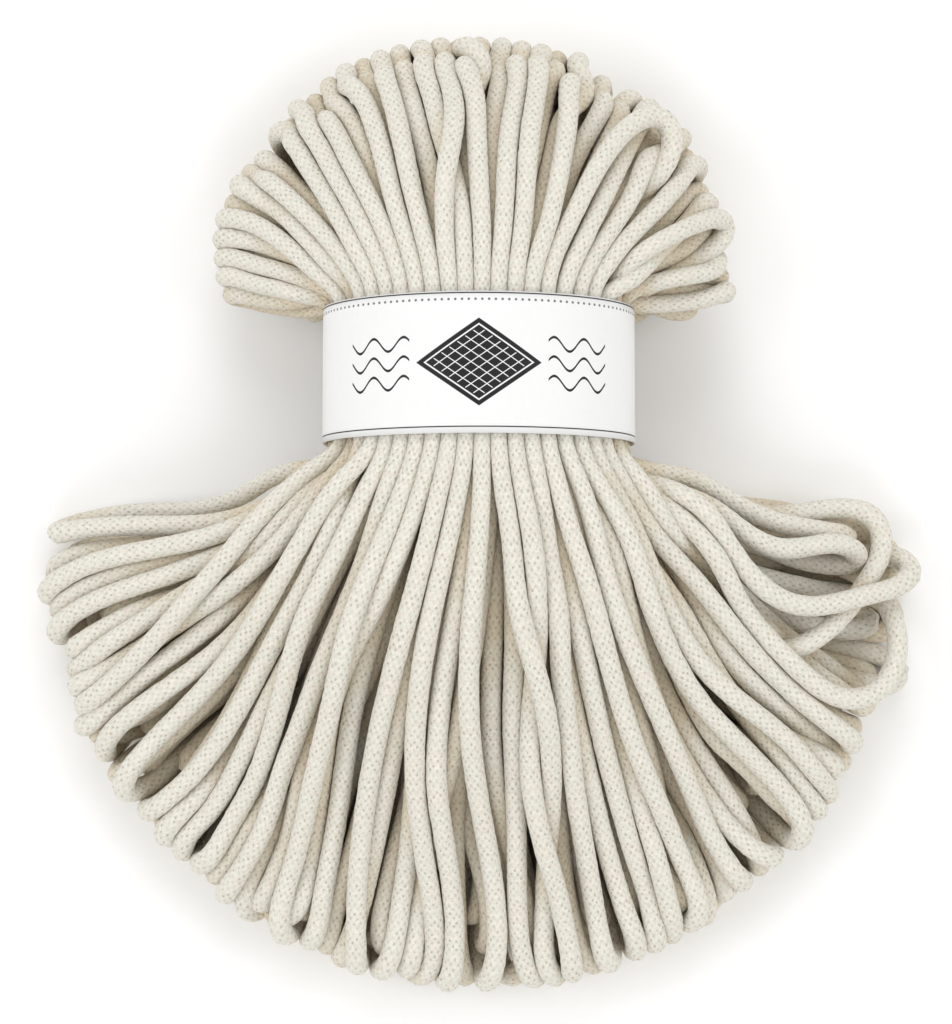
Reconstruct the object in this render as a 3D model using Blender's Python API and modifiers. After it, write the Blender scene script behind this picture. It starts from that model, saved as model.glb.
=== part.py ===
"""A hank of braided cotton cord, drawn through a paper band and lying on its back.

Run with: blender --background --python part.py

Units are millimetres until finish_mesh() scales them. +X is the hank's right, +Y points from the long
fan of loops through the band to the short fan, and +Z is up from the surface that the hank lies on.

The cord is wound in turns. Every turn leaves the band at the front, bends over at a fan's edge and comes
back underneath, so the hank's surface is a set of closed runs that lie side by side. The runs are the
columns of the lofted mesh, four for each cord, and the rows go round the turns. Every other cord
shows all the way to the band, and those between dive under their neighbours on the way there.
"""

import math

import bmesh
import bpy
import numpy as np

# Cord
CORD = 5.0                    # diameter of the braided cord
VALLEY = CORD * 0.38          # depth of the groove between two cords that lie side by side
FLANK = CORD * 0.07           # fall of a round cord's top, a quarter of its width from the crest

# Paper band
BAND_X = 67.0                 # outside width
BAND_Z = 50.0                 # outside depth
BAND_Y = 29.0                 # height along the hank
PAPER = 1.0                   # thickness of the band's wall
BAND_MIDDLE = (0.6, 28.3)     # x and y of the middle of the band
BAND_LIFT = 4.0               # clearance under the band
SEAT = 0.35                   # gap between the band and the cord inside it
BAND_SIDES = 72

# Loft
PAIRS = 24                    # pairs of cords across the hank, each cord four columns of the loft
SEED = 11                     # of the unevenness from cord to cord

WAIST_Z = BAND_LIFT + BAND_Z / 2
WAIST_A = BAND_X / 2 - PAPER - SEAT
WAIST_B = BAND_Z / 2 - PAPER - SEAT
SIDE_ANGLE = math.radians(85.0)   # how far round the waist's oval the first and last columns lie

# Each fan: which way it points along Y, half the angle that it opens to, and its reach from the middle
# of the band's edge at equal steps of angle, from the left side to the right.
LONG_FAN = {
    "way": -1,
    "spread": 82.0,
    "reach": (98.5, 105, 111.5, 112, 118, 119, 121.5, 120.5, 118, 116, 108.5, 104, 94.5),
    "leave": 0.70,            # share of the fan angle that a cord has turned to where it leaves the band
    "arrive": 1.06,           # and the share where it meets the edge
    "edge_z": 10.5,           # height of the middle of the rounded edge
    "edge_r": 10.0,           # radius of the rounded edge
    "jut": 1.5,               # unevenness of the reach from cord to cord
    "hide": 0,                # one cord in this many never shows, or none where it is 0
    # Along a cord, from the band (0) to the edge (1): the heights of the middle of the front, of the
    # sides and of the middle of the back, and how square the section is, 2 being an oval.
    "along": (0.0, 0.06, 0.16, 0.32, 0.50, 0.68, 0.85),
    "front": (WAIST_Z + WAIST_B, 54.5, 55.5, 54.0, 44.5, 33.0, 24.5),
    "side": (WAIST_Z, 29.0, 26.5, 21.0, 16.5, 13.0, 11.0),
    "back": (WAIST_Z - WAIST_B, 2.0, -2.0, -4.5, -5.5, -4.5, -2.0),
    "square": (2.0, 2.1, 2.4, 2.8, 3.3, 3.7, 4.0),
    "under": (6, 4, 2, 0),     # the rows of the tables above that the back uses, from the edge inwards
}
SHORT_FAN = {
    "way": 1,
    "spread": 87.0,
    "reach": (58, 64, 65, 65, 67, 67, 67, 65, 64, 65.5, 63, 60, 57.5),
    "leave": 0.70,
    "arrive": 1.0,
    "edge_z": 13.0,
    "edge_r": 11.0,
    "jut": 1.0,
    "hide": 4,
    "along": (0.0, 0.12, 0.34, 0.68),
    "front": (WAIST_Z + WAIST_B, 54.0, 53.5, 41.0),
    "side": (WAIST_Z, 27.5, 21.5, 15.5),
    "back": (WAIST_Z - WAIST_B, 0.0, -4.5, -5.0),
    "square": (2.0, 2.1, 2.5, 3.0),
    "under": (3, 1, 0),
}
EDGE_TURNS = (64.0, 32.0, 0.0, -32.0, -64.0)   # degrees round a fan's edge, from the front to the back

# Where the front sinks between loops that have come apart, or swells where one lies over the others
LUMPS = (
    # x, y, radius and rise
    (49.0, 63.0, 7.0, -3.5),
    (36.0, 74.0, 9.0, 2.0),
    (73.0, -11.0, 7.5, -3.5),
    (84.0, -2.0, 7.0, 2.5),
    (80.0, -24.0, 6.5, 2.0),
    (83.0, -36.0, 7.5, -3.0),
    (-72.0, -4.0, 9.0, 1.5),
    (-52.0, -66.0, 8.0, -1.5),
    (44.0, -78.0, 10.0, 1.5),
)


def clear_scene():
    for obj in list(bpy.data.objects):
        bpy.data.objects.remove(obj, do_unlink=True)


def collection(name):
    made = bpy.data.collections.new(name)
    bpy.context.scene.collection.children.link(made)
    return made


def material(name, colour, roughness):
    made = bpy.data.materials.new(name)
    made.use_nodes = True
    shader = made.node_tree.nodes["Principled BSDF"]
    shader.inputs["Base Color"].default_value = (*colour, 1.0)
    shader.inputs["Roughness"].default_value = roughness
    shader.inputs["Metallic"].default_value = 0.0
    return made


def unit(vectors):
    return vectors / np.maximum(np.linalg.norm(vectors, axis=-1, keepdims=True), 1e-9)


def cords():
    """One entry for each cord across the hank, from the left side to the right.

    Even cords show all the way and odd ones dive on the way to the band. jut is how far a cord reaches
    past its fan's mean edge, sink is how low it lies, and rise is where along a fan an odd one comes up.
    """
    count = 2 * PAIRS + 1
    draw = np.random.default_rng(SEED)
    return {
        "dives": np.arange(count) % 2 == 1,
        "girth": draw.uniform(0.85, 1.15, count),
        "jut": draw.uniform(-1.0, 1.0, count),
        "sink": draw.uniform(0.0, 1.0, count),
        "rise": draw.uniform(0.02, 0.50, count),
    }


def shown(cord, fan, along):
    """How far each cord has come to the surface, from 0 to 1."""
    risen = np.clip((along - cord["rise"]) / 0.35, 0, 1)
    number = np.arange(len(risen))
    stays = number % fan["hide"] == 1 if fan["hide"] else number < 0
    return np.where(cord["dives"], np.where(stays, 0.0, risen), 1.0)


def across_fan(cord, fan, along):
    """Where each column lies from -1 to 1: a cord that has dived takes less room than one that shows."""
    girth = cord["girth"] * (0.35 + 0.65 * shown(cord, fan, along))
    starts = np.concatenate([[0], np.cumsum(girth)])
    columns = []
    for i, width in enumerate(girth):
        columns += [starts[i], starts[i] + width * 0.25, starts[i] + width * 0.5, starts[i] + width * 0.75]
    columns = np.array(columns + [starts[-1]])
    return columns / starts[-1] * 2 - 1


def relief(cord, fan, along):
    """How far each column stands out from the smooth form: crests and grooves, and loops that jut."""
    fade = np.clip((along - 0.02) / 0.10, 0, 1)
    up = shown(cord, fan, along)
    crest = -(1 - up) * VALLEY - 0.9 * cord["sink"] * min(along / 0.3, 1) * up + along**2 * fan["jut"] * cord["jut"]
    low = np.minimum(np.append(crest, crest[-1]), np.insert(crest, 0, crest[0])) - VALLEY
    low = np.maximum(low, -VALLEY - 1.2)
    heights = []
    for i, top in enumerate(crest):
        heights += [low[i], top - FLANK, top, top - FLANK]
    return np.array(heights + [low[-1]]) * fade


def fan_place(fan, across, along):
    """x and y of the points at this share of the way from the band to the fan's edge."""
    way = fan["way"]
    angle = np.radians(fan["spread"]) * across
    reach = np.interp(across, np.linspace(-1, 1, len(fan["reach"])), fan["reach"])
    middle = np.array([BAND_MIDDLE[0], BAND_MIDDLE[1] + way * BAND_Y / 2])
    start = middle + np.stack([WAIST_A * np.sin(across * SIDE_ANGLE), 0 * across], 1)
    end = middle + np.stack([reach * np.sin(angle), way * reach * np.cos(angle)], 1)
    leave, arrive = fan["leave"] * angle, fan["arrive"] * angle
    pull = np.linalg.norm(end - start, axis=1, keepdims=True) / 3
    near = start + pull * np.stack([np.sin(leave), way * np.cos(leave)], 1)
    far = end - pull * np.stack([np.sin(arrive), way * np.cos(arrive)], 1)
    t = along
    place = (1 - t) ** 3 * start + 3 * t * (1 - t) ** 2 * near + 3 * t * t * (1 - t) * far + t**3 * end
    return place, np.stack([np.sin(arrive), way * np.cos(arrive)], 1)


def fullness(across, square):
    """The share of a section's height at each column: 1 in the middle, and a little left at the sides."""
    return np.cos(across * SIDE_ANGLE) ** (2 / square)


def fan_rows(cord, fan):
    """Rows from the band's front edge, over the fan's edge and back to the band underneath."""
    rows, reliefs, front = [], [], len(fan["along"])
    for i in [*range(front), *fan["under"]]:
        along, square = fan["along"][i], fan["square"][i]
        across = across_fan(cord, fan, along)
        place, _ = fan_place(fan, across, along)
        top = fan["front"][i] if len(rows) < front else fan["back"][i]
        height = fan["side"][i] + (top - fan["side"][i]) * fullness(across, square)
        rows.append(np.column_stack([place, height]))
        reliefs.append(relief(cord, fan, along))
    across = across_fan(cord, fan, 1.0)
    tip, outward = fan_place(fan, across, 1.0)
    radius = fan["edge_r"] * (0.35 + 0.65 * fullness(across, fan["square"][-1]))
    edge = []
    for turn in EDGE_TURNS:
        back = radius * (1 - math.cos(math.radians(turn)))
        height = fan["edge_z"] + radius * math.sin(math.radians(turn))
        edge.append(np.column_stack([tip - outward * back[:, None], height]))
    rows[front:front] = edge
    reliefs[front:front] = [relief(cord, fan, 1.0)] * len(edge)
    return rows, reliefs


def outward(rows):
    """The direction out of the surface at every point, from the points round it."""
    on = np.roll(rows, -1, axis=0) - np.roll(rows, 1, axis=0)
    sideways = np.gradient(rows, axis=1)
    normal = unit(np.cross(on, sideways))
    normal[:, 0] = unit(rows[:, 0] - rows[:, 4])
    normal[:, -1] = unit(rows[:, -1] - rows[:, -5])
    return normal


def close_side(mesh, grid, column, front_rows, back_rows, flip):
    """Fills the strip between the front rows and the back rows at one side."""
    i = j = 0
    while i < len(front_rows) - 1 or j < len(back_rows) - 1:
        share_i = (i + 1) / max(len(front_rows) - 1, 1)
        share_j = (j + 1) / max(len(back_rows) - 1, 1)
        a, b = grid[front_rows[i]][column], grid[back_rows[j]][column]
        if share_i <= share_j and i < len(front_rows) - 1:
            i += 1
            face = [a, b, grid[front_rows[i]][column]]
        else:
            j += 1
            face = [a, b, grid[back_rows[j]][column]]
        if len(set(face)) == 3:
            mesh.faces.new(face[::-1] if flip else face)


def build_hank(into):
    """The wound cord: one closed solid."""
    cord = cords()
    long_rows, long_relief = fan_rows(cord, LONG_FAN)
    short_rows, short_relief = fan_rows(cord, SHORT_FAN)
    rows = np.array(long_rows + short_rows[::-1])
    raised = np.array(long_relief + short_relief[::-1])
    normal = outward(rows)
    for x, y, radius, rise in LUMPS:
        near = np.exp(-((rows[..., 0] - x) ** 2 + (rows[..., 1] - y) ** 2) / radius**2)
        raised = raised + rise * near * np.maximum(normal[..., 2], 0)
    points = rows + normal * raised[..., None]
    points[..., 2] = np.maximum(points[..., 2], 0.0)
    count, width = points.shape[:2]
    mesh = bmesh.new()
    grid = [[mesh.verts.new(points[r, c]) for c in range(width)] for r in range(count)]
    for r in range(count):
        below = grid[(r + 1) % count]
        for c in range(width - 1):
            mesh.faces.new((grid[r][c], grid[r][c + 1], below[c + 1], below[c]))
    # The strips that close the two sides run in two parts, each from the waist to the middle of an edge.
    long_mid = len(LONG_FAN["along"]) + len(EDGE_TURNS) // 2
    short_mid = len(long_rows) + len(short_rows) - 1 - len(SHORT_FAN["along"]) - len(EDGE_TURNS) // 2
    long_back = list(range(len(long_rows) - 1, long_mid - 1, -1))
    short_back = list(range(len(long_rows), short_mid + 1))
    long_front = list(range(0, long_mid + 1))
    short_front = list(range(count - 1, short_mid - 1, -1))
    for side in (0, width - 1):
        close_side(mesh, grid, side, long_front, long_back, False)
        close_side(mesh, grid, side, short_front, short_back, True)
        close_side(mesh, grid, side, [0, count - 1], [len(long_rows) - 1, len(long_rows)], False)
    bmesh.ops.triangulate(mesh, faces=mesh.faces)
    bmesh.ops.recalc_face_normals(mesh, faces=mesh.faces)
    return finish_mesh(mesh, "hank", into)


def build_band(into):
    """The paper band: an oval strip with its ends joined, standing on edge round the cord."""
    mesh = bmesh.new()
    ring = bmesh.ops.create_circle(mesh, radius=1.0, segments=BAND_SIDES)["verts"]
    for vert in ring:
        vert.co = (
            BAND_MIDDLE[0] + vert.co.x * (BAND_X - PAPER) / 2,
            BAND_MIDDLE[1] - BAND_Y / 2,
            WAIST_Z + vert.co.y * (BAND_Z - PAPER) / 2,
        )
    made = bmesh.ops.extrude_edge_only(mesh, edges=mesh.edges)["geom"]
    raised = [item for item in made if isinstance(item, bmesh.types.BMVert)]
    bmesh.ops.translate(mesh, verts=raised, vec=(0, BAND_Y, 0))
    bmesh.ops.recalc_face_normals(mesh, faces=mesh.faces)
    band = finish_mesh(mesh, "band", into)
    wall = band.modifiers.new("Wall", "SOLIDIFY")
    wall.thickness = PAPER / 1000
    wall.offset = 0.0
    return band


def finish_mesh(mesh, name, into):
    bmesh.ops.scale(mesh, vec=(0.001, 0.001, 0.001), verts=mesh.verts)
    data = bpy.data.meshes.new(name)
    mesh.to_mesh(data)
    mesh.free()
    data.shade_smooth()
    made = bpy.data.objects.new(name, data)
    into.objects.link(made)
    return made


def main():
    clear_scene()
    parts = collection("Cord hank")
    hank = build_hank(parts)
    hank.data.materials.append(material("cotton", (0.76, 0.72, 0.63), 0.9))
    band = build_band(parts)
    band.data.materials.append(material("paper", (0.92, 0.92, 0.92), 0.55))


main()
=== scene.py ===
"""A hank of braided cotton cord, gathered in its middle by a paper band and fanned out at both ends.

The cord's turns are laid out as closed chains of points: packed tight inside the band, spread over a long
and a short fan, and bent round at the fans' edges. A relaxation then lets them push each other apart, keep
their length and lie down on the floor. Lengths are in millimetres until the meshes are made.
"""

import math

import bpy
import numpy as np
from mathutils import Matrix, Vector


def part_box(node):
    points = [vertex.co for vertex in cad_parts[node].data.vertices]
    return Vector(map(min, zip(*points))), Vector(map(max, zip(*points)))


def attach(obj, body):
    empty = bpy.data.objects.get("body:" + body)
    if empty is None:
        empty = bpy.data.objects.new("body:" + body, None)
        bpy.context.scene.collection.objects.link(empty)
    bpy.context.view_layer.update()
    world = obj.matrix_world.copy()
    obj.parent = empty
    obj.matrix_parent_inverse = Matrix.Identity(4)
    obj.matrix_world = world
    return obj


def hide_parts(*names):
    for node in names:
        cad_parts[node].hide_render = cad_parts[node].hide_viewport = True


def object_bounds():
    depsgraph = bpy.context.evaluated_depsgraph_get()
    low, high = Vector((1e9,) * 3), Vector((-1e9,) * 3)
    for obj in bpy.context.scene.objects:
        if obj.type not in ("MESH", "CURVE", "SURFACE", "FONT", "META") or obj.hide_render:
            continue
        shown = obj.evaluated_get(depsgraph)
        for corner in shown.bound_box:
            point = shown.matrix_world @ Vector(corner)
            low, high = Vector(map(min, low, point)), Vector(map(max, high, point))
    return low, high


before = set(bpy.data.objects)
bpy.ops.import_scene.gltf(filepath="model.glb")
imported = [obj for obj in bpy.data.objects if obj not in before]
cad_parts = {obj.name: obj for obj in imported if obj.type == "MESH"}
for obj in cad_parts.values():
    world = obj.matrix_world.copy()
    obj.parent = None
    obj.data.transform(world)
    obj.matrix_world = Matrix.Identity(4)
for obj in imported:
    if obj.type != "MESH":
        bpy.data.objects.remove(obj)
cad_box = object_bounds()

MM = 0.001

# The band as the frame has it
BAND_LOW, BAND_HIGH = (np.array(corner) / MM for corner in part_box("band"))
BAND_X, BAND_Y, BAND_Z = BAND_HIGH - BAND_LOW
BAND_MIDDLE = (BAND_LOW + BAND_HIGH)[:2] / 2
WAIST_Z = (BAND_LOW + BAND_HIGH)[2] / 2
PAPER = 0.35                # thickness of the sheet
WAIST_A = BAND_X / 2 - 1.2  # half the width and half the height of the gathered cords
WAIST_B = BAND_Z / 2 - 1.2

# The cord and its turns
CORD = 4.9                  # diameter of the loose cord
PRESSED = 0.95              # how close two cords lie, as a share of their diameter
TURNS = 112
STEP = 3.2                  # between the points of the layout
SWELL = 38.0                # distance from the band in which a pressed cord regains its width
SEED = 12
ROUNDS = 240
BUNCH_KNOTS = 19            # across a fan, where the cords draw together or come apart
PIECES = 20
SINK = 0.03                 # how far a point falls in one round
STIFFNESS = 0.14            # how strongly the cord straightens itself
PUSH = 0.9                  # share of an overlap that is mended in one round
UNDER = 7.0                 # how far aside a turn still hides one beneath it
LIP = 2.6                   # how far a cord runs straight on past the band's edge

# The mesh of the cord
RING_STEP = 1.5
SIDES = 14
THIN = 4.35                 # diameter of a straight run
WIDE = 5.0                  # diameter where a loop bends round tightly and the braid flattens
TIGHT_BEND = 6.0            # radius of such a bend
PLAITS = 9                  # zigzags of the braid round the cord
PLAIT_ROW = 2.2             # between two stitches of one zigzag
UNEVEN = 0.018              # how unevenly thick the cord is, as a share of its radius
TWIST_LENGTH = 420.0        # in which the columns turn once round the cord
PIT = 0.38                  # radius of the pits between the plaits
BURIED_SHADE_FROM, BURIED_SHADE_TO = 0.3, 1.0     # how hidden a turn is where its painted shade starts, and where the painted shade is deepest

# Colours of the cotton
WARM = (0.83, 0.78, 0.71, 1)
COOL = (0.795, 0.79, 0.71, 1)
PALE = (0.82, 0.80, 0.74, 1)
FIBRE_SHADE = (0.63, 0.59, 0.50, 1)
PLAIT_SHADE = (0.45, 0.40, 0.30, 1)
PIT_SHADE = (0.27, 0.23, 0.16, 1)
# painted shade: multiplied into the colour of turns that lie under others
BURIED_SHADE_TINT = (0.82, 0.69, 0.50, 1)

# The paper's print: two border lines, a row of dots, a lozenge and three waves on each side of it
LINES = (BAND_Y - 0.35, 1.3)
DOT_ROW = BAND_Y - 1.65
DOT_PITCH = 1.38
DOT = 0.27
LOZENGE_X, LOZENGE_Y = 13.0, 9.0  # half its width and half its height
WAVE_ROWS = (-4.0, 0.0, 4.0)
WAVE_FROM, WAVE_TO = 14.5, 28.5
WAVE_PITCH = 7.0
WAVE_RISE = 1.4
LAP = 12.0                  # of the paper's ends at the back
INK = (0.012, 0.012, 0.013, 1)
PAPER_SHADE = (0.80, 0.80, 0.80, 1)
PAPER_LIGHT = (0.84, 0.84, 0.84, 1)

# The stage, in metres
FLOOR_HALF = 9.0
LIGHTS = (("left", -1, 0, 2.8), ("right", 1, 0, 2.4), ("top", 0, 1, 2.7), ("bottom", 0, -1, 2.3))
LIGHT_OUT, LIGHT_UP, LIGHT_SIZE = 0.75, 0.7, 0.6
LIGHT_COLOUR = (0.97, 1.0, 1.06)
SKY_COLOUR, SKY_STRENGTH = (1.03, 1.0, 0.93, 1), 0.60
EXPOSURE, GAMMA = 0.0, 0.965

SIDE_ANGLE = math.radians(85.0)   # how far round the oval of a fan's section its sides lie

# Each fan: which way it points along Y, and half the angle that it opens to.
# reach: from the middle of the band's edge to the fan's edge, at equal steps of angle from left to right.
# leave, arrive: the share of its own angle that a loop has turned to at the band and at the fan's edge.
# along, front, side, square: from the band (0) to the fan's edge (1), the heights of the middle of the front
# and of the sides, and how square the section is, 2 being an oval.
# outer, inner_reach: how many loops lie in the outer layer, and the share of the reach of all others.
# sway, drift: how far a loop wanders to the side, alone and along with its neighbours.
# bunch, swaps, tilt: how unevenly the loops are spread, how often two change places, and their lean.
# widest: the share of the spread at which the outermost loops lie.
LONG_FAN = {
    "way": -1, "spread": 81.0,
    "reach": (99, 102.2, 111, 113, 116.5, 119.4, 121, 121, 117.2, 114.2, 108.4, 105.8, 98),
    "leave": 0.62,
    "arrive": (0.86, 0.90, 1.0, 1.06, 1.06, 1.06, 1.08),
    "along": (0.0, 0.06, 0.16, 0.32, 0.50, 0.68, 0.85, 1.0),
    "front": (WAIST_Z + WAIST_B, 58.0, 62.0, 59.0, 49.5, 37.5, 26.0, 20.0),
    "side": (WAIST_Z, 28.5, 25.0, 20.0, 16.0, 13.0, 11.0, 10.5),
    "square": (2.0, 2.1, 2.4, 2.8, 3.3, 3.7, 4.0, 4.0),
    "outer": 68,
    "inner_reach": (0.86, 0.97),
    "sway": 1.8, "drift": 2.0, "bunch": 0.010, "swaps": 0.36, "tilt": 22.0,
    "widest": 0.93,
}
SHORT_FAN = {
    "way": 1, "spread": 88.0,
    "reach": (57.8, 64, 64.8, 64.3, 66, 65.7, 65, 64.6, 63, 65, 62, 58, 59),
    "leave": 0.66,
    "arrive": (1.15, 1.0, 1.0, 1.0, 1.0, 1.0, 1.0),
    "along": (0.0, 0.12, 0.34, 0.68, 1.0),
    "front": (WAIST_Z + WAIST_B, 59.0, 59.5, 44.0, 26.0),
    "side": (WAIST_Z, 27.5, 23.0, 17.0, 14.5),
    "square": (2.0, 2.1, 2.5, 3.0, 3.0),
    "outer": 43,
    "inner_reach": (0.66, 0.88),
    "sway": 0.7, "drift": 0.6, "bunch": 0.006, "swaps": 0.12, "tilt": 6.0,
    "widest": 0.98,
}

# Loops laid one by one: the fan, its layer (0 the outer one), the place across it, and then x, y and z
# from the front leg round to the back one
LAID = (
    ("long", 0, 0.80, (49, -8, 38), (54, -17, 34.5), (58, -23.5, 29.5), (68, -33.5, 27),
     (73.5, -38.5, 24.5), (80, -41.5, 22), (86.5, -40.5, 19.5), (91, -36, 18), (93, -30.5, 16.5),
     (93.2, -25.5, 14), (91.5, -20, 10), (86, -13, 6), (76, -9, 3.5), (60, -3, 3.5)),
    ("long", 0, 0.87, (46.5, 1, 39), (52, -6.5, 36.5), (56, -12, 34), (60.5, -17, 32), (66, -20.3, 29.5),
     (72.5, -21.3, 26.5), (79, -20, 23.5), (85.3, -18.3, 20), (92.3, -16.8, 16), (97, -14.3, 12.5),
     (97.5, -11.3, 9.5), (93.5, -8.5, 6), (85, -7, 3.5), (74, -5, 3), (60, 0, 4)),
    ("long", 0, 0.99, (40, 0, 12), (47, -12, 15), (54, -25, 19), (62, -31, 24), (71, -29.5, 25),
     (77, -25.5, 22), (81.5, -21.5, 18.5), (85, -17, 14.5), (88, -13, 13.5), (90, -8.3, 12.5),
     (91, -4.3, 11.5), (90, -0.8, 11), (87, 1.2, 11), (81, 1.5, 11.5), (74.5, 0.4, 12), (66, -1.5, 13),
     (57, 0, 14), (46, 6, 16)),
    ("long", 0, 0.92, (47, 2, 33), (53.3, -2, 31), (58.7, -6.2, 30), (63, -8.5, 28), (68, -8.8, 25.5),
     (73.5, -7.6, 22), (79, -6.6, 18.5), (83.3, -8, 14), (86, -10, 9.5), (81, -11.5, 6), (70, -9, 4),
     (58, -4, 4)),
    ("long", 0, 0.96, (46.4, 7, 28), (51.8, 3.8, 27), (57.2, 0.6, 25), (64, -2.2, 22), (69, -3.3, 19.5),
     (74.5, -3.8, 17), (80, -4.6, 13.5), (84.3, -6, 9), (80, -7.5, 5.5), (70, -5, 4), (58, -1, 4)),
    ("long", 0, -0.98, (-44, 1, 25), (-50, -1.7, 24.5), (-61, -3.2, 22), (-73, -3, 19), (-84, -3.2, 15),
     (-92, -4, 11), (-95.8, -4.8, 7.5), (-92, -2.5, 4.5), (-82, 0.2, 4), (-74, 0.8, 5), (-62, 0.8, 8),
     (-51, 4, 14), (-42, 9, 20)),
    ("long", 0, -0.93, (-42, -1, 31), (-50, -4.5, 29), (-61, -7.1, 26.5), (-73, -9, 22.5), (-83.5, -11, 18),
     (-92, -14.5, 13.5), (-97.3, -18.3, 9), (-93, -18, 4.5), (-79, -13, 3.5), (-60, -8, 3.5)),
    ("long", 0, -0.955, (-44, 0, 20), (-52, -4, 20), (-62, -6.2, 18), (-72, -7, 15.5), (-83, -8, 12.5),
     (-92, -10, 9.5), (-96, -13, 7), (-92, -15, 4.5), (-78, -11, 3), (-62, -7, 3), (-48, 0, 8)),
    ("long", 0, -0.915, (-43, -2, 30), (-51, -6, 28), (-61, -9.5, 24.5), (-72, -12, 20.5),
     (-82, -14.5, 16.5), (-90, -18.5, 12.5), (-94.5, -22.5, 9), (-91, -22, 4.5), (-78, -15, 3.5),
     (-60, -9, 3.5)),
    ("long", 0, -0.90, (-42, -3, 32), (-50, -8, 29), (-60, -12, 26), (-70, -15, 22.5), (-81, -18.5, 18.5),
     (-90, -22.5, 14), (-95, -27.5, 9), (-91, -26, 4.5), (-77, -18, 3.5), (-60, -10, 3.5)),
    ("long", 0, 0.975, (43, 1, 12), (52, -3, 10), (62, -4, 7), (73, -3, 5), (83, -4, 4), (92, -6.5, 3),
     (96, -10.5, 2.6), (92.5, -14.5, 2.6), (80, -13, 2.6), (62, -7, 2.6), (48, 1, 8)),
    ("long", 0, 0.90, (44, -5, 14), (54, -11, 10), (66, -15, 7), (79, -18, 5), (90, -18, 4), (95, -21, 3),
     (95, -26, 2.6), (88, -27.5, 2.6), (74, -24, 2.6), (60, -15, 2.6)),
    ("long", 0, 0.84, (45, -11, 14), (58, -22, 10), (71, -31, 7), (84, -37, 4.5), (93.5, -39, 3.2),
     (97, -35, 2.6), (92, -31, 2.6), (77, -27.5, 2.6), (62, -19, 2.6)),
    ("long", 1, 0.97, (44, 6, 8), (56, 2.5, 5), (68, 0.5, 3), (80, -1, 2.6), (88, -2, 2.6),
     (89.5, -5.5, 2.6), (80, -6, 2.6), (66, -4.5, 2.6), (54, -1, 4)),
    ("long", 1, 0.93, (44, 0, 10), (54, -6, 6), (66, -9, 3), (78, -10, 2.6), (84, -13, 2.6), (80, -17, 2.6),
     (68, -15, 2.6), (54, -8, 4)),
    ("long", 1, 0.89, (44, -5, 10), (54, -12, 6), (66, -17, 3), (80, -20.5, 2.6), (90, -22.5, 2.6),
     (89, -26, 2.6), (78, -25.5, 2.6), (66, -22, 2.6), (54, -14, 4)),
    ("long", 1, -0.93, (-46, -1, 12), (-58, -4, 9), (-72, -6, 7), (-86, -7, 5), (-93, -9.5, 4),
     (-91, -13, 3), (-76, -12, 3), (-56, -8, 4)),
    ("long", 1, -0.88, (-46, -5, 12), (-58, -11, 9), (-72, -16, 7), (-84, -20, 5), (-88, -24, 4),
     (-83, -25, 3), (-70, -20, 3), (-56, -11, 4)),
    ("long", 1, -0.84, (-46, -8, 14), (-58, -16, 11), (-72, -23, 8), (-84, -29, 6), (-88, -33, 4.5),
     (-83, -33, 3), (-70, -27, 3), (-56, -14, 4)),
    ("long", 1, 0.84, (44, -9, 10), (54, -18, 6), (64, -25, 3), (77, -31, 2.6), (90, -34.5, 2.6),
     (86, -42, 2.6), (72, -37, 2.6), (54, -20, 4)),
    ("long", 1, 0.80, (44, -13, 10), (54, -24, 6), (62, -34, 3), (72, -44, 2.6), (76, -50, 2.6),
     (70, -50, 2.6), (62, -42, 2.6), (52, -26, 4)),
    ("short", 0, 0.36, (20.3, 60, 47), (23.5, 67.2, 45), (27.2, 74, 41.5), (31.9, 80.7, 36.5),
     (36.6, 84.5, 32.5), (40.5, 85.5, 28.5), (43, 82, 28.5), (42, 76.5, 31.5), (39, 71, 33), (35, 66, 32),
     (28, 58, 28)),
    ("short", 0, 0.83, (33, 52.5, 40), (39, 56, 39), (46, 60.5, 33), (51.5, 63.5, 26), (54.5, 64.5, 21),
     (55.5, 61.5, 18), (53.5, 57.5, 19), (48.5, 54, 22), (41, 50.5, 26), (35, 47.5, 29)),
)


# ---------------------------------------------------------------- small helpers

def unit(vectors):
    return vectors / np.maximum(np.linalg.norm(vectors, axis=-1, keepdims=True), 1e-9)


def smooth(share):
    share = np.clip(share, 0, 1)
    return share * share * (3 - 2 * share)


def round_off(points, steps):
    """A smooth curve through the points, with this many steps between two of them."""
    held = np.concatenate([[2 * points[0] - points[1]], points, [2 * points[-1] - points[-2]]])
    t = np.linspace(0, 1, steps, endpoint=False)[None, :, None]
    a, b, c, d = (held[k:len(held) - 3 + k][:, None] for k in range(4))
    curve = 0.5 * (2 * b + (c - a) * t + (2 * a - 5 * b + 4 * c - d) * t**2 + (3 * b - a - 3 * c + d) * t**3)
    return np.concatenate([curve.reshape(-1, 3), points[-1:]])


def resample(points, step):
    length = np.concatenate([[0], np.cumsum(np.linalg.norm(np.diff(points, axis=0), axis=1))])
    at = np.linspace(0, length[-1], max(round(length[-1] / step), 2) + 1)
    return np.stack([np.interp(at, length, points[:, k]) for k in range(3)], 1)


# ---------------------------------------------------------------- the layout of the turns

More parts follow.
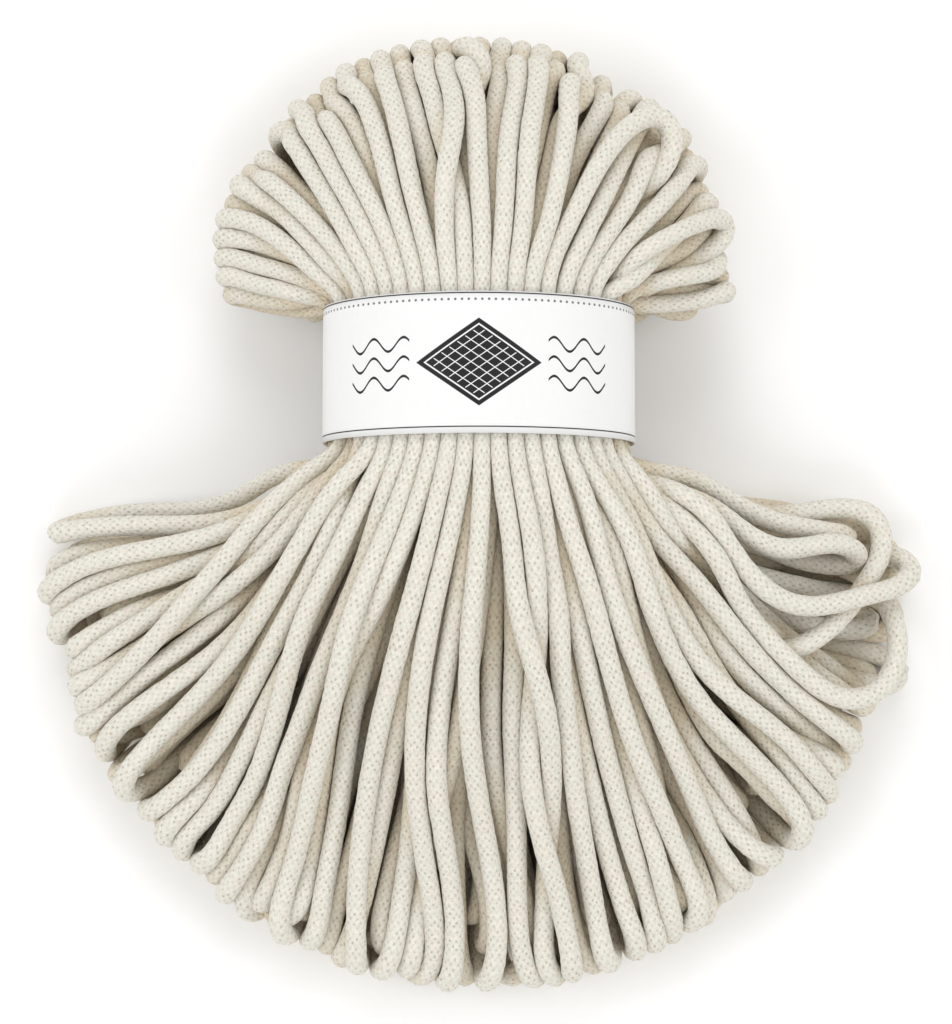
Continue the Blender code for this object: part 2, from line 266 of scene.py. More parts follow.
def pack_waist(draw):
    """x and z of every strand inside the band, packed in its oval, and their radius there."""
    count = 2 * TURNS
    radius = math.sqrt(0.90 * WAIST_A * WAIST_B / count)
    number = np.arange(count)
    turn = number * math.pi * (3 - math.sqrt(5))
    share = np.sqrt((number + 0.5) / count)
    oval = np.array([WAIST_A - radius, WAIST_B - radius])
    spot = share[:, None] * np.stack([np.cos(turn), np.sin(turn)], 1) * oval
    spot += draw.normal(0, 0.4, spot.shape)
    for _ in range(300):
        gap = spot[:, None] - spot[None]
        distance = np.linalg.norm(gap, axis=2) + np.eye(count) * 99
        push = np.maximum(2 * radius - distance, 0) / distance
        spot = spot + 0.4 * (gap * push[..., None]).sum(1)
        spot = spot / np.maximum(np.linalg.norm(spot / oval, axis=1), 1)[:, None]
    return spot, radius


def pair_strands(fan, spot, draw):
    """Every loop of a fan: its front strand, back strand, place across, share of the reach and layer."""
    share = spot / (WAIST_A, WAIST_B)
    rim = np.linalg.norm(share, axis=1)
    rank = np.argsort(np.argsort(spot[:, 1]))
    made, halves = [], []
    for side in (1, -1):
        half = np.where(rank >= TURNS if side == 1 else rank < TURNS)[0]
        half = half[np.argsort(-rim[half])]
        turn = np.arctan2(share[:, 0], np.maximum(side * share[:, 1], 0) + 0.02)
        outer, inner = half[:fan["outer"]], half[fan["outer"]:]
        halves.append((outer[np.argsort(turn[outer])], inner[np.argsort(turn[inner])]))
    for layer in (0, 1):
        fronts, backs = halves[0][layer], halves[1][layer]
        count = len(fronts)
        place = (np.arange(count) + 0.5) / count * 2 - 1
        knots = np.linspace(-1, 1, BUNCH_KNOTS)
        place = np.interp(place, knots, knots + draw.normal(0, fan["bunch"], BUNCH_KNOTS))
        for i in range(count - 1):
            if draw.uniform() < fan["swaps"]:
                place[[i, i + 1]] = place[[i + 1, i]]
        for front, back, across in zip(fronts, backs, place):
            factor = draw.uniform(*fan["inner_reach"]) if layer else 1 - 0.015 * draw.uniform()
            across = across + draw.normal(0, 0.25) * 2 / count
            made.append((front, back, np.clip(across, -1, 1) * fan["widest"], factor, layer))
    return made


def across_fan(fan, key, across):
    return np.interp(across, np.linspace(-1, 1, len(fan[key])), fan[key])


def fan_leg(fan, start, across, along, factor):
    """x and y of a leg from the band to the fan's edge, and the direction in which it arrives."""
    way = fan["way"]
    angle = math.radians(fan["spread"]) * across
    middle = BAND_MIDDLE + (0, way * BAND_Y / 2)
    heading = np.array([math.sin(angle), way * math.cos(angle)])
    end = middle + across_fan(fan, "reach", across) * factor * heading
    leave, arrive = fan["leave"] * angle, across_fan(fan, "arrive", across) * angle
    pull = np.linalg.norm(end - start) / 3
    outward = np.array([math.sin(arrive), way * math.cos(arrive)])
    near = start + pull * np.array([math.sin(leave), way * math.cos(leave)])
    far = end - pull * outward
    t = along[:, None]
    place = (1 - t) ** 3 * start + 3 * t * (1 - t) ** 2 * near + 3 * t * t * (1 - t) * far + t**3 * end
    return place, outward


def leg_heights(fan, across, along, depth):
    square = np.interp(along, fan["along"], fan["square"])
    full = math.cos(across * SIDE_ANGLE) ** (2 / square)
    side = np.interp(along, fan["along"], fan["side"])
    top = side + (np.interp(along, fan["along"], fan["front"]) - side) * full - CORD / 2
    low = side * (1 - full) + CORD / 2
    return top + (low - top) * depth


def spread_loop(fan, spot, loop, sway, draw):
    """One loop, from the band's edge at the front, over the fan's edge and back underneath."""
    front, back, across, factor, _ = loop
    along = np.linspace(0, 0.9, 24)
    edge_y = BAND_MIDDLE[1] + fan["way"] * (BAND_Y / 2 + LIP)
    tilt = math.radians(draw.normal(0, fan["tilt"]))
    legs = []
    for strand in (front, back):
        x, z = spot[strand]
        column = WAIST_B * math.sqrt(1 - np.clip(x / WAIST_A, -0.99, 0.99) ** 2)
        depth = np.clip((1 - z / column) / 2, 0, 1)
        place, outward = fan_leg(fan, np.array([BAND_MIDDLE[0] + x, edge_y]), across, along, factor)
        height = leg_heights(fan, across, along, depth)
        height = WAIST_Z + z + (height - WAIST_Z - z) * smooth(along / 0.25)
        aside = np.array([-outward[1], outward[0]])
        wave = sum(amount / (k + 1) * np.sin(along * math.pi * (k + 1)) for k, amount in enumerate(sway))
        legs.append(np.column_stack([place + wave[:, None] * aside, height]))
    top, low = legs[0][-1], legs[1][-1]
    middle = (top + low) / 2
    half = max((top[2] - low[2]) / 2, 3.3)
    out3, aside3 = np.append(outward, 0), np.append(aside, 0)
    over = math.cos(tilt) * np.array([0, 0, 1.0]) + math.sin(tilt) * aside3
    for leg, way in zip(legs, (1, -1)):
        leg += smooth((along - 0.5) / 0.4)[:, None] * (middle + way * half * over - leg[-1])
    tip = np.append(fan_leg(fan, legs[0][0][:2], across, np.array([1.0]), factor)[0][0], middle[2])
    tip -= out3 * CORD / 2
    turn = np.radians(np.linspace(75, -75, 7))[:, None]
    arc = tip - out3 * half * (1 - np.cos(turn)) + over * half * np.sin(turn)
    return resample(np.concatenate([legs[0], arc, legs[1][::-1]]), STEP)


def laid_loop(fan, spot, loop, route):
    """A loop laid along its own listed route."""
    edge_y = BAND_MIDDLE[1] + fan["way"] * (BAND_Y / 2 + LIP)
    ends = [(BAND_MIDDLE[0] + spot[s][0], edge_y, WAIST_Z + spot[s][1]) for s in loop[:2]]
    leave = [(x, y + fan["way"] * LIP, z) for x, y, z in ends]
    points = np.array([ends[0], leave[0], *route, leave[1], ends[1]], dtype=float)
    return resample(round_off(points, 6), STEP)


def lay_fan(name, fan, spot, draw):
    """Every loop of a fan: its front strand, its back strand, its points and how firmly each is held."""
    made = pair_strands(fan, spot, draw)
    routes = {}
    for which, layer, across, *route in LAID:
        if which == name:
            spare = [k for k, loop in enumerate(made) if loop[4] == layer and k not in routes]
            routes[min(spare, key=lambda k: abs(made[k][2] - across))] = route
    loops = []
    knots = np.linspace(-1, 1, BUNCH_KNOTS)
    drift = draw.normal(0, fan["drift"], (3, BUNCH_KNOTS))
    for k, loop in enumerate(made):
        shared = np.array([np.interp(loop[2], knots, row) for row in drift])
        line = spread_loop(fan, spot, loop, shared + draw.normal(0, fan["sway"], 3), draw)
        firm = np.full(len(line), 0.004)
        middle = len(line) // 2
        firm[middle - 2:middle + 3] = 0.10
        if k in routes:
            line = laid_loop(fan, spot, loop, routes[k])
            firm = np.full(len(line), 0.15)
        firm[[0, -1]] = 1.0
        loops.append((loop[0], loop[1], line, firm))
    return loops


def lay_turns(draw):
    """Closed chains of points, how firmly each point is held, and the cord's radius inside the band."""
    spot, radius = pack_waist(draw)
    ends = {}
    for name, fan in (("long", LONG_FAN), ("short", SHORT_FAN)):
        for front, back, line, firm in lay_fan(name, fan, spot, draw):
            ends[name, front] = (line, back, firm)
            ends[name, back] = (line[::-1], front, firm[::-1])
    chains, seen = [], set()
    for first in range(2 * TURNS):
        if first in seen:
            continue
        parts, held, strand = [], [], first
        while strand not in seen:
            for name, other in (("long", "short"), ("short", "long")):
                seen.add(strand)
                line, strand, firm = ends[name, strand]
                run = np.linspace(line[-1], ends[other, strand][0][0], 10)[1:-1]
                parts += [line, run]
                held += [firm, np.ones(len(run))]
        chains.append((np.concatenate(parts), np.concatenate(held)))
    return chains, radius


# ---------------------------------------------------------------- the relaxation

GRID_STEPS = [(0, 0, 0), (0, 0, 1)] + [(0, 1, k) for k in (-1, 0, 1)]
GRID_STEPS += [(1, j, k) for j in (-1, 0, 1) for k in (-1, 0, 1)]


def near_pairs(points, size):
    """Pairs of points that share a cell of a grid, or whose cells touch."""
    cell = np.floor((points - points.min(0)) / size).astype(np.int64) + 1
    wide = cell.max(0) + 2
    key = (cell[:, 0] * wide[1] + cell[:, 1]) * wide[2] + cell[:, 2]
    order = np.argsort(key, kind="stable")
    ranked = key[order]
    one, two = [], []
    for dx, dy, dz in GRID_STEPS:
        shift = (dx * wide[1] + dy) * wide[2] + dz
        low = np.searchsorted(ranked, key + shift, "left")
        count = np.searchsorted(ranked, key + shift, "right") - low
        first = np.repeat(np.arange(len(points)), count)
        within = np.arange(count.sum()) - np.repeat(np.cumsum(count) - count, count)
        second = order[np.repeat(low, count) + within]
        keep = first < second if shift == 0 else slice(None)
        one.append(first[keep])
        two.append(second[keep])
    return np.concatenate(one), np.concatenate(two)


def cord_radius(points, pressed, full):
    """The cord is pressed thin by the band, and swells again as it leaves it."""
    away = np.abs(points[:, 1] - BAND_MIDDLE[1]) - BAND_Y / 2
    out = np.hypot(np.maximum(away, 0), np.maximum(np.abs(points[:, 0] - BAND_MIDDLE[0]) - WAIST_A, 0))
    return pressed + (full - pressed) * np.clip(out / SWELL, 0, 1) ** 0.8


def settle(chains, pressed, rounds):
    """Lets the cords push each other apart, stay as long as they are and lie down on the floor."""
    points = np.concatenate([line for line, _ in chains])
    firm = np.concatenate([held for _, held in chains])
    sizes = np.array([len(line) for line, _ in chains])
    starts = np.concatenate([[0], np.cumsum(sizes)])
    chain = np.repeat(np.arange(len(chains)), sizes)
    after = np.arange(len(points)) + 1
    after[starts[1:] - 1] = starts[:-1]
    before = np.empty_like(after)
    before[after] = np.arange(len(points))
    home = points.copy()
    rest = np.linalg.norm(points[after] - points, axis=1)
    free = np.where(firm < 1, 1.0, 0.0)
    pull = np.where(firm < 1, firm, 0.0)[:, None] * np.array([1, 1, 0.15])
    low = CORD / 2 * 0.97
    total = len(points)
    for step in range(rounds):
        if step % 8 == 0:
            one, two = near_pairs(points, 7.0)
            apart = np.abs(one - two)
            apart = np.minimum(apart, sizes[chain[one]] - apart)
            keep = ~((chain[one] == chain[two]) & (apart <= 3)) & (free[one] + free[two] > 0)
            one, two = one[keep], two[keep]
            radius = cord_radius(points, pressed, CORD / 2 * PRESSED)
            reach = radius[one] + radius[two]
            gap = points[one] - points[two]
            keep = (gap * gap).sum(1) < (reach + 2.2) ** 2
            one, two, reach = one[keep], two[keep], reach[keep]
        points[:, 2] -= SINK * free * (1 - 0.7 * step / rounds)
        points += pull * (home - points)
        points += STIFFNESS * free[:, None] * ((points[after] + points[before]) / 2 - points)
        gap = points[one] - points[two]
        distance = np.sqrt((gap * gap).sum(1)) + 1e-9
        push = np.maximum(reach - distance, 0)
        hit = push > 0
        a, b = one[hit], two[hit]
        move = gap[hit] * (push[hit] / distance[hit] / (free[a] + free[b]))[:, None]
        move_a, move_b = move * free[a][:, None], move * free[b][:, None]
        hits = np.sqrt(np.maximum(np.bincount(a, minlength=total) + np.bincount(b, minlength=total), 1))
        for k in range(3):
            shift = np.bincount(a, move_a[:, k], total) - np.bincount(b, move_b[:, k], total)
            points[:, k] += PUSH * shift / hits
        for _ in range(3):
            gap = points[after] - points
            distance = np.linalg.norm(gap, axis=1) + 1e-9
            both = np.maximum(free + free[after], 1e-9)
            move = gap * (0.5 * (distance - rest) / distance / both)[:, None]
            points += move * free[:, None]
            back = np.zeros_like(points)
            back[after] = move * free[after][:, None]
            points -= back
        points[:, 2] = np.where(free > 0, np.maximum(points[:, 2], low), points[:, 2])
    return [points[a:b] for a, b in zip(starts[:-1], starts[1:])]


# ---------------------------------------------------------------- materials

class Wiring:
    """A short way to add a material's nodes and join them."""

    def __init__(self, name):
        self.material = bpy.data.materials.new(name)
        self.material.use_nodes = True
        self.tree = self.material.node_tree
        self.shader = self.tree.nodes["Principled BSDF"]

    def add(self, kind, output=0, inputs=None, **facts):
        """Adds a node and returns one of its outputs. Inputs are given by name or number."""
        made = self.tree.nodes.new("ShaderNode" + kind)
        for key, value in facts.items():
            setattr(made, key, value)
        for key, value in (inputs or {}).items():
            self.give(made.inputs[key], value)
        return made.outputs[output]

    def give(self, socket, value):
        if isinstance(value, bpy.types.NodeSocket):
            self.tree.links.new(value, socket)
        else:
            socket.default_value = value

    def maths(self, operation, *values, clamp=False):
        return self.add("Math", inputs=dict(enumerate(values)), operation=operation, use_clamp=clamp)

    def ramp(self, value, low, high, bottom=0.0, top=1.0):
        """value from low to high becomes bottom to top, smoothly."""
        inputs = {"Value": value, "From Min": low, "From Max": high, "To Min": bottom, "To Max": top}
        return self.add("MapRange", inputs=inputs, interpolation_type="SMOOTHSTEP")

    def noise(self, place, scale, detail=2.0):
        inputs = {"Vector": place, "Scale": scale, "Detail": detail, "Roughness": 0.6}
        return self.add("TexNoise", inputs=inputs)

    def mix(self, share, one, two, blend="MIX"):
        inputs = {0: share, 6: one, 7: two}
        return self.add("Mix", 2, inputs, data_type="RGBA", blend_type=blend)

    def uv(self, name):
        """u and v of a UV map."""
        split = self.tree.nodes.new("ShaderNodeSeparateXYZ")
        self.tree.links.new(self.add("UVMap", uv_map=name), split.inputs[0])
        return split.outputs[0], split.outputs[1]

    def relief(self, height, depth):
        inputs = {"Height": height, "Distance": depth, "Strength": 1.0}
        self.give(self.shader.inputs["Normal"], self.add("Bump", inputs=inputs))


def braided_cotton():
    """Undyed cotton: fine yarns braided round the cord, with a soft pit where the yarns dive under.

    The turns hidden deep in the hank get a painted shade: darker and browner under other turns.
    """
    w = Wiring("braided_cotton")
    place = w.add("TexCoord", 3)
    around, along = w.uv("Cord")
    girth = math.pi * THIN / PLAITS
    column = w.maths("MULTIPLY", around, PLAITS)
    row = w.maths("DIVIDE", along, PLAIT_ROW)
    pits = []
    for shift in (0.0, 0.5):
        across, ahead = w.maths("ADD", column, shift), w.maths("ADD", row, shift)
        cell = w.add("CombineXYZ", inputs={0: w.maths("FLOOR", across), 1: w.maths("FLOOR", ahead), 2: shift})
        chance = w.tree.nodes.new("ShaderNodeSeparateXYZ")
        w.tree.links.new(w.add("TexWhiteNoise", 1, {"Vector": cell}, noise_dimensions="3D"), chance.inputs[0])
        off = []
        for value, width, by_chance in ((across, girth, 0.24), (ahead, PLAIT_ROW * 0.75, 0.36)):
            from_middle = w.maths("MULTIPLY", w.maths("SUBTRACT", w.maths("FRACT", value), 0.5), width)
            thrown = w.maths("MULTIPLY", w.maths("SUBTRACT", chance.outputs[len(off)], 0.5), by_chance)
            off.append(w.maths("ADD", from_middle, thrown))
        squares = w.maths("ADD", *(w.maths("MULTIPLY", part, part) for part in off))
        strength = w.ramp(chance.outputs[2], 0.0, 1.0, 0.2, 0.95)
        round_pit = w.ramp(w.maths("SQRT", squares), 0.0, PIT, 1.0, 0.0)
        pits.append(w.maths("MULTIPLY", round_pit, strength))
    pit = w.maths("MAXIMUM", *pits)

    fibre = w.noise(place, 2100.0, 3.0)
    wander = w.maths("MULTIPLY", w.maths("SUBTRACT", w.noise(place, 900.0, 2.0), 0.5), 0.5)
    zigzag = w.maths("MULTIPLY", w.maths("PINGPONG", w.maths("MULTIPLY", column, 2.0), 1.0), 0.5)
    strand = w.maths("PINGPONG", w.maths("ADD", w.maths("ADD", row, zigzag), wander), 0.5)
    ridge = w.ramp(strand, 0.0, 0.4)
    patches = w.noise(place, 420.0, 2.0)
    long_patches = w.noise(place, 60.0, 2.0)
    light = w.mix(w.ramp(patches, 0.38, 0.62), WARM, COOL)
    light = w.mix(w.ramp(long_patches, 0.35, 0.65, 0.0, 0.5), light, PALE)
    yarn = w.mix(w.ramp(fibre, 0.38, 0.64, 0.0, 0.44), light, FIBRE_SHADE)
    yarn = w.mix(w.maths("MULTIPLY", w.maths("SUBTRACT", 1.0, ridge), 0.14), yarn, PLAIT_SHADE)
    colour = w.mix(w.maths("MULTIPLY", pit, 0.60), yarn, PIT_SHADE)
    # painted shade: darker and browner where a turn lies under others
    buried_shade = w.ramp(w.add("Attribute", 2, attribute_name="BuriedShade"), BURIED_SHADE_FROM, BURIED_SHADE_TO, 0.0, 0.56)
    colour = w.mix(buried_shade, colour, BURIED_SHADE_TINT, "MULTIPLY")
    w.give(w.shader.inputs["Base Color"], colour)
    w.shader.inputs["Roughness"].default_value = 0.92
    w.shader.inputs["Specular IOR Level"].default_value = 0.2
    w.shader.inputs["Sheen Weight"].default_value = 0.2
    w.shader.inputs["Sheen Roughness"].default_value = 0.6
    height = w.maths("ADD", w.maths("MULTIPLY", ridge, 0.35), w.maths("MULTIPLY", fibre, 1.3))
    w.relief(w.maths("SUBTRACT", height, w.maths("MULTIPLY", pit, 0.5)), 0.2 * MM)
    return w.material


def printed_paper():
    """White paper, with a plain printed border and a generic lozenge and waves in black."""
    w = Wiring("printed_paper")
    place = w.add("TexCoord", 3)
    x, y = w.uv("Sheet")

    def line_at(value, middle, half):
        away = w.maths("ABSOLUTE", w.maths("SUBTRACT", value, middle))
        return w.ramp(away, half - 0.06, half + 0.06, 1.0, 0.0)

    def at_most(value, limit, soft=0.06):
        return w.ramp(value, limit - soft, limit + soft, 1.0, 0.0)

    ink = w.maths("MAXIMUM", *(line_at(y, line, 0.13) for line in LINES))
    in_pitch = w.maths("SUBTRACT", w.maths("FRACT", w.maths("DIVIDE", x, DOT_PITCH)), 0.5)
    dot_x = w.maths("MULTIPLY", in_pitch, DOT_PITCH)
    dot_y = w.maths("SUBTRACT", y, DOT_ROW)
    squares = w.maths("ADD", *(w.maths("MULTIPLY", part, part) for part in (dot_x, dot_y)))
    dots = w.maths("MULTIPLY", at_most(w.maths("SQRT", squares), DOT), 0.8)
    ink = w.maths("MAXIMUM", ink, dots)

    # The lozenge, with a fine white lattice inside a white frame
    up = w.maths("SUBTRACT", y, BAND_Y / 2)
    share_x, share_y = w.maths("DIVIDE", x, LOZENGE_X), w.maths("DIVIDE", up, LOZENGE_Y)
    slope_a = w.maths("ADD", share_x, share_y)
    slope_b = w.maths("SUBTRACT", share_x, share_y)
    edge = w.maths("MAXIMUM", w.maths("ABSOLUTE", slope_a), w.maths("ABSOLUTE", slope_b))
    lozenge = at_most(edge, 1.0, 0.008)
    frame_line = line_at_scaled(w, edge, 0.86, 0.02)
    lattice = w.maths("MAXIMUM", lattice_lines(w, slope_a, 4), lattice_lines(w, slope_b, 4))
    lattice = w.maths("MULTIPLY", lattice, at_most(edge, 0.80, 0.01))
    white = w.maths("MAXIMUM", frame_line, lattice)
    lozenge = w.maths("MULTIPLY", lozenge, w.maths("SUBTRACT", 1.0, white))
    ink = w.maths("MAXIMUM", ink, lozenge)

    # Three fine waves on each side of it
    side = w.maths("ABSOLUTE", x)
    within = w.maths("MULTIPLY", at_most(side, WAVE_TO), w.ramp(side, WAVE_FROM - 0.1, WAVE_FROM + 0.1))
    turned = w.maths("MULTIPLY", side, 2 * math.pi / WAVE_PITCH)
    sway = w.maths("MULTIPLY", w.maths("SINE", turned), WAVE_RISE)
    for rise in WAVE_ROWS:
        wave = line_at(w.maths("SUBTRACT", up, sway), rise, 0.28)
        ink = w.maths("MAXIMUM", ink, w.maths("MULTIPLY", wave, within))
    grain = w.noise(place, 700.0, 3.0)
    paper = w.mix(grain, PAPER_SHADE, PAPER_LIGHT)
    w.give(w.shader.inputs["Base Color"], w.mix(ink, paper, INK))
    w.give(w.shader.inputs["Roughness"], w.ramp(grain, 0.3, 0.7, 0.48, 0.6))
    w.shader.inputs["Specular IOR Level"].default_value = 0.35
    w.relief(grain, 0.03 * MM)
    return w.material


def line_at_scaled(w, value, middle, half):
    away = w.maths("ABSOLUTE", w.maths("SUBTRACT", value, middle))
    return w.ramp(away, half * 0.7, half * 1.3, 1.0, 0.0)


def lattice_lines(w, slope, count):
    """Fine lines, count to a unit of slope."""
    part = w.maths("FRACT", w.maths("MULTIPLY", w.maths("ADD", slope, 10.0), count))
    away = w.maths("ABSOLUTE", w.maths("SUBTRACT", part, 0.5))
    return w.ramp(away, 0.035, 0.065, 1.0, 0.0)


def studio_floor():
    w = Wiring("studio_floor")
    grain = w.noise(w.add("TexCoord", 3), 3.0, 2.0)
    w.give(w.shader.inputs["Base Color"], w.mix(grain, (0.93, 0.93, 0.93, 1), (0.95, 0.95, 0.95, 1)))
    w.shader.inputs["Roughness"].default_value = 0.9
    w.shader.inputs["Specular IOR Level"].default_value = 0.1
    return w.material


# ---------------------------------------------------------------- meshes

def finish_piece(name, points, faces, uvs, map_name, material, node, buried_shade=None):
    """A smooth mesh of four-sided faces with its own UV map, which stands for a CAD node."""
    mesh = bpy.data.meshes.new(name)
    mesh.vertices.add(len(points))
    mesh.vertices.foreach_set("co", (points * MM).astype(np.float32).ravel())
    mesh.loops.add(faces.size)
    mesh.loops.foreach_set("vertex_index", faces.astype(np.int32).ravel())
    mesh.polygons.add(len(faces))
    mesh.polygons.foreach_set("loop_start", np.arange(0, faces.size, 4, dtype=np.int32))
    layer = mesh.uv_layers.new(name=map_name)
    layer.uv.foreach_set("vector", uvs.astype(np.float32).ravel())
    mesh.polygons.foreach_set("use_smooth", np.ones(len(faces), dtype=bool))
    # the share of painted shade at each point, for the cotton's colour
    if buried_shade is not None:
        mesh.attributes.new("BuriedShade", "FLOAT", "POINT").data.foreach_set("value", buried_shade.astype(np.float32))
    mesh.materials.append(material)
    mesh.update()
    mesh.validate()
    piece = bpy.data.objects.new(name, mesh)
    bpy.context.scene.collection.objects.link(piece)
    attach(piece, "root")
    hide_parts(node)
    return piece


def fine_chain(chain):
    """The closed chain as a smooth closed curve with evenly spaced points, and its length."""
    for _ in range(2):
        chain = (np.roll(chain, 1, 0) + 2 * chain + np.roll(chain, -1, 0)) / 4
    closed = np.concatenate([chain, chain[:1]])
    turned = np.concatenate([chain[-1:], closed, chain[1:2]])
    curve = round_off(turned, 4)[4:-4]
    step = np.linalg.norm(np.diff(curve, axis=0), axis=1)
    length = np.concatenate([[0], np.cumsum(step)])
    count = round(length[-1] / RING_STEP)
    at = np.linspace(0, length[-1], count, endpoint=False)
    return np.stack([np.interp(at, length, curve[:, k]) for k in range(3)], 1), length[-1]


def carried_frames(centres):
    """Two directions across the cord at each ring, carried along without twist and closed by a slow one."""
    tangent = unit(np.roll(centres, -1, 0) - np.roll(centres, 1, 0))
    across = np.empty_like(centres)
    start = np.cross(tangent[0], (0.3, 0.2, 0.93))
    across[0] = start / np.linalg.norm(start)
    for k in range(1, len(centres)):
        moved = across[k - 1] - tangent[k] * np.dot(across[k - 1], tangent[k])
        across[k] = moved / math.sqrt(np.dot(moved, moved))
    back = across[-1] - tangent[0] * np.dot(across[-1], tangent[0])
    other = np.cross(tangent[0], across[0])
    miss = math.atan2(np.dot(back, other), np.dot(back, across[0]))
    return across, np.cross(tangent, across), miss


def tube_radius(centres, pressed):
    """The cord's radius at each ring, wider round the tight bends of the loops."""
    reach = 3
    ahead, behind = np.roll(centres, -reach, 0), np.roll(centres, reach, 0)
    turned = np.linalg.norm(unit(ahead - centres) - unit(centres - behind), axis=1)
    bend = np.clip(turned / (reach * RING_STEP) * TIGHT_BEND, 0, 1)
    for _ in range(6):
        bend = (np.roll(bend, 1) + 2 * bend + np.roll(bend, -1)) / 4
    return cord_radius(centres, pressed, (THIN + (WIDE - THIN) * bend) / 2)


def cord_mesh(chain, pressed):
    """Points, faces and UVs of one closed turn or more of the cord."""
    centres, length = fine_chain(chain)
    count = len(centres)
    across, up, miss = carried_frames(centres)
    at = np.arange(count) / count
    turns = round(length / TWIST_LENGTH)
    angle = np.arange(SIDES)[None] * 2 * math.pi / SIDES + (at * (2 * math.pi * turns - miss))[:, None]
    radius = tube_radius(centres, pressed)[:, None, None]
    radius = radius * (1 + UNEVEN * np.random.default_rng(count).normal(0, 1, (count, SIDES, 1)).clip(-2, 2))
    rings = np.cos(angle)[..., None] * across[:, None] + np.sin(angle)[..., None] * up[:, None]
    points = (centres[:, None] + radius * rings).reshape(-1, 3)
    ring, side = np.meshgrid(np.arange(count), np.arange(SIDES), indexing="ij")
    ahead, beside = (ring + 1) % count, (side + 1) % SIDES
    corners = [(ring, side), (ring, beside), (ahead, beside), (ahead, side)]
    faces = np.stack([a * SIDES + b for a, b in corners], -1).reshape(-1, 4)
    u = np.stack([side, side + 1, side + 1, side], -1) / SIDES
    v = np.stack([ring, ring, ring + 1, ring + 1], -1) * (length / count)
    return points, faces, np.stack([u, v], -1).reshape(-1, 2), length


def how_hidden(centres):
    """From 0 for a ring of the cord in the open to 1 for one deep under other turns."""
    one, two = near_pairs(centres, UNDER)
    cover = np.zeros(len(centres))
    for low, high in ((one, two), (two, one)):
        gap = centres[high] - centres[low]
        near = np.maximum(1 - np.hypot(gap[:, 0], gap[:, 1]) / UNDER, 0) * (gap[:, 2] > CORD / 2)
        cover += np.bincount(low, near, len(centres))
    return np.clip(cover * RING_STEP / 9.0, 0, 1)


def build_cord(material):
    """The cord's turns in pieces of about the same length, which meet out of sight inside the band."""
    chains, pressed = lay_turns(np.random.default_rng(SEED))
    made = [cord_mesh(chain, pressed) for chain in settle(chains, pressed, ROUNDS)]
    offsets = np.cumsum([0] + [len(m[0]) for m in made])
    points = np.concatenate([m[0] for m in made])
    faces = np.concatenate([m[1] + offset for m, offset in zip(made, offsets)])
    uvs = np.concatenate([m[2] for m in made]).reshape(-1, 4, 2)
    centres = points.reshape(-1, SIDES, 3).mean(1)
    # how deep each ring lies under other turns, which sets the painted shade in the cotton's colour
    buried_shade = np.repeat(how_hidden(centres), SIDES)
    over = centres[:, 1] > BAND_MIDDLE[1]
    crossings = np.where(over[1:] != over[:-1])[0] + 1
    even = np.arange(1, PIECES) * len(over) / PIECES
    cuts = crossings[np.abs(crossings - even[:, None]).argmin(1)]
    for number, (first, last) in enumerate(zip([0, *cuts], [*cuts, len(over)]), 1):
        part = slice(first * SIDES, last * SIDES)
        used, corners = np.unique(faces[part], return_inverse=True)
        finish_piece(f"cord_turns_{number:02d}", points[used], corners.reshape(-1, 4),
                     uvs[part].reshape(-1, 2), "Cord", material, "hank", buried_shade[used])
    print("cord length", round(sum(m[3] for m in made) * MM, 2), "m")


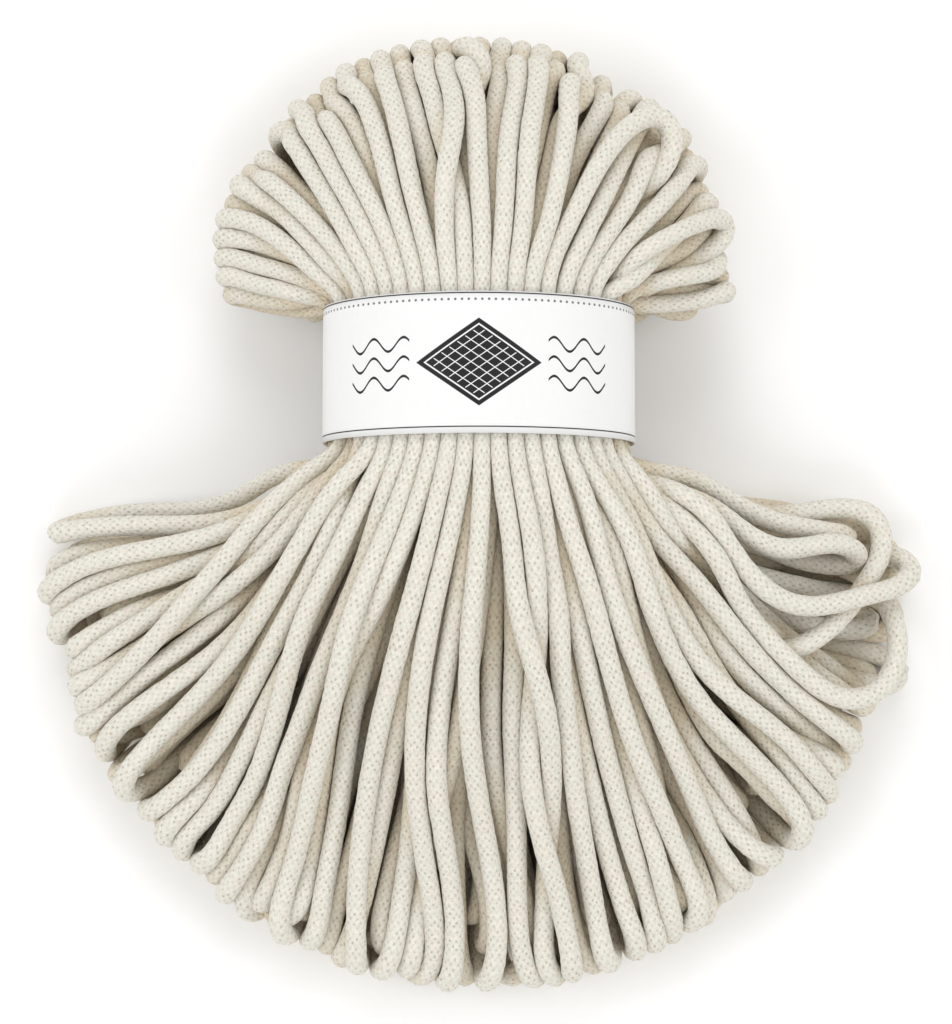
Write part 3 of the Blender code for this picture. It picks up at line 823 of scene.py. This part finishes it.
def build_band(material):
    """The paper band: a thin sheet wrapped round the gathered cords, its ends lapped at the back."""
    half_x, half_z = BAND_X / 2, BAND_Z / 2
    fine = np.linspace(0, 2 * math.pi, 2001)
    step = np.hypot(np.diff(half_x * np.sin(fine)), np.diff(half_z * np.cos(fine)))
    around = np.concatenate([[0], np.cumsum(step)])
    girth = around[-1]
    at = np.linspace(-girth / 2 - LAP / 2, girth / 2 + LAP / 2, 181)
    turn = np.interp(at % girth, around, fine)
    lift = -PAPER * 1.3 * smooth((at - (girth / 2 - LAP / 2 - 4)) / 4)
    rows = np.linspace(0, BAND_Y, 13)
    outer = np.stack([(half_x + lift) * np.sin(turn), (half_z + lift) * np.cos(turn)], 1)
    normal = unit(np.stack([np.sin(turn) / half_x, np.cos(turn) / half_z], 1))
    layers = []
    for depth in (0.0, PAPER):
        face = outer - normal * depth
        x = BAND_MIDDLE[0] + np.repeat(face[:, 0], len(rows))
        y = BAND_LOW[1] + np.tile(rows, len(at))
        z = WAIST_Z + np.repeat(face[:, 1], len(rows))
        layers.append(np.stack([x, y, z], 1))
    points = np.concatenate(layers)
    sheet = len(layers[0])
    column, row = np.meshgrid(np.arange(len(at) - 1), np.arange(len(rows) - 1), indexing="ij")
    one = (column * len(rows) + row).ravel()
    front = np.stack([one, one + 1, one + len(rows) + 1, one + len(rows)], 1)
    faces = [front, front[:, ::-1] + sheet]
    long_edge = np.arange(len(at)) * len(rows)
    for edge, flip in ((long_edge, False), (long_edge + len(rows) - 1, True),
                       (np.arange(len(rows)), True), (np.arange(len(rows)) + sheet - len(rows), False)):
        a, b = edge[:-1], edge[1:]
        side = np.stack([a, b, b + sheet, a + sheet], 1)
        faces.append(side[:, ::-1] if flip else side)
    faces = np.concatenate(faces)
    place = np.stack([np.repeat(at, len(rows)), np.tile(rows, len(at))], 1)
    place = np.concatenate([place, place])
    band = finish_piece("paper_band", points, faces, place[faces].reshape(-1, 2), "Sheet",
                        material, "band")


# ---------------------------------------------------------------- stage

TARGET = Vector((0.0, 0.0, 0.017))
DISTANCE = 0.455
TILT = math.radians(3.6)
LENS, SENSOR = 72.7, 36.0


def add_camera():
    data = bpy.data.cameras.new("camera")
    data.lens, data.sensor_width = LENS, SENSOR
    camera = bpy.data.objects.new("camera", data)
    camera.location = TARGET + DISTANCE * Vector((0, -math.sin(TILT), math.cos(TILT)))
    camera.rotation_euler = (TARGET - camera.location).to_track_quat("-Z", "Y").to_euler()
    bpy.context.scene.collection.objects.link(camera)
    bpy.context.scene.camera = camera


def add_light(name, place, aim, size, power):
    data = bpy.data.lights.new(name, "AREA")
    data.size, data.energy = size, power
    data.color = LIGHT_COLOUR
    light = bpy.data.objects.new(name, data)
    light.location = place
    light.rotation_euler = (Vector(aim) - Vector(place)).to_track_quat("-Z", "Y").to_euler()
    bpy.context.scene.collection.objects.link(light)


def add_stage():
    half = FLOOR_HALF
    corners = [(-half, -half, 0), (half, -half, 0), (half, half, 0), (-half, half, 0)]
    mesh = bpy.data.meshes.new("floor")
    mesh.from_pydata(corners, [], [(0, 1, 2, 3)])
    mesh.materials.append(studio_floor())
    floor = bpy.data.objects.new("floor", mesh)
    floor.location.z = cad_box[0][2]
    bpy.context.scene.collection.objects.link(floor)
    world = bpy.data.worlds.new("studio")
    world.use_nodes = True
    world.node_tree.nodes["Background"].inputs["Color"].default_value = SKY_COLOUR
    world.node_tree.nodes["Background"].inputs["Strength"].default_value = SKY_STRENGTH
    bpy.context.scene.world = world
    for name, x, y, power in LIGHTS:
        add_light("light_" + name, (LIGHT_OUT * x, LIGHT_OUT * y, LIGHT_UP), (0, 0, 0), LIGHT_SIZE, power)
    shown = bpy.context.scene.view_settings
    shown.view_transform, shown.exposure, shown.gamma = "Standard", EXPOSURE, GAMMA


add_camera()
build_cord(braided_cotton())
build_band(printed_paper())
add_stage()
